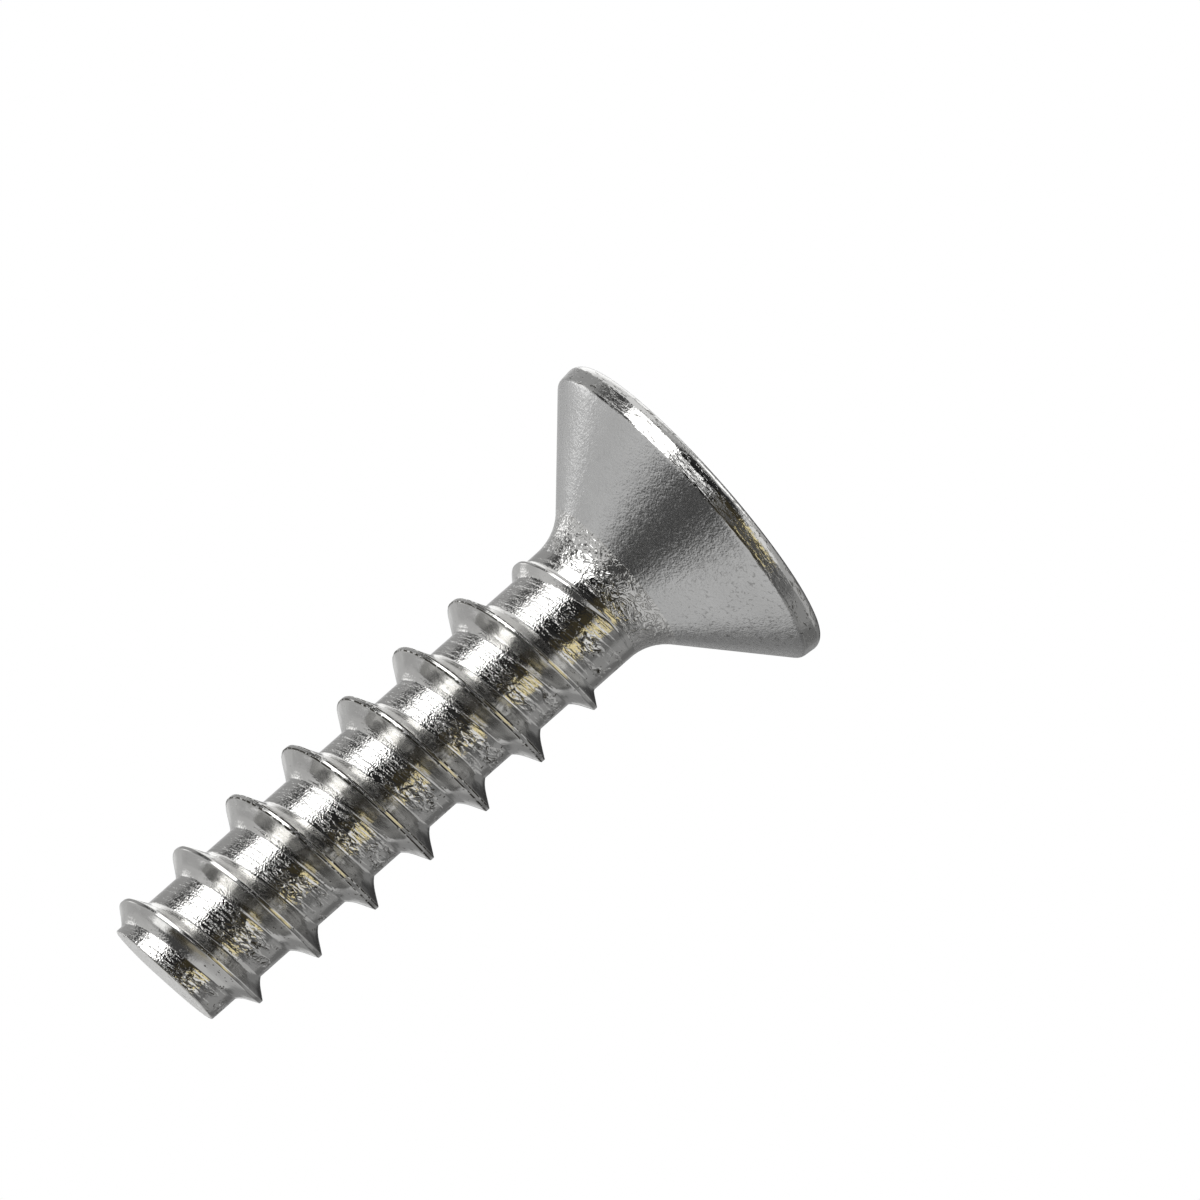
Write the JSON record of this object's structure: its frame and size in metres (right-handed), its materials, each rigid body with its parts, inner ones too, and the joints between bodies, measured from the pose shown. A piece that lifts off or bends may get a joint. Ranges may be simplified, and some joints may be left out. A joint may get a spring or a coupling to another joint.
{
  "type": "countersunk wood screw",
  "caption": "Short countersunk screw with a cross recess, coarse full-length thread and a blunt sheared end, in bright plated steel.",
  "frame": {"origin": "centre of the flat top of the head, where the driver enters", "axes": "+Z along the screw's axis, out of the head towards the driver; the shank points down -Z; the wings of the cross recess lie at 45 degrees between +X and +Y"},
  "size_m": [0.0082, 0.0082, 0.016],
  "materials": {
    "plated_steel": "bright zinc or nickel plating over cold-worked steel, glossy on the rolled shank, satin with fine dimples on the cone and grainy on the flat"
  },
  "bodies": {
    "root": {"screw": "plated_steel"}
  },
  "joints": []
}
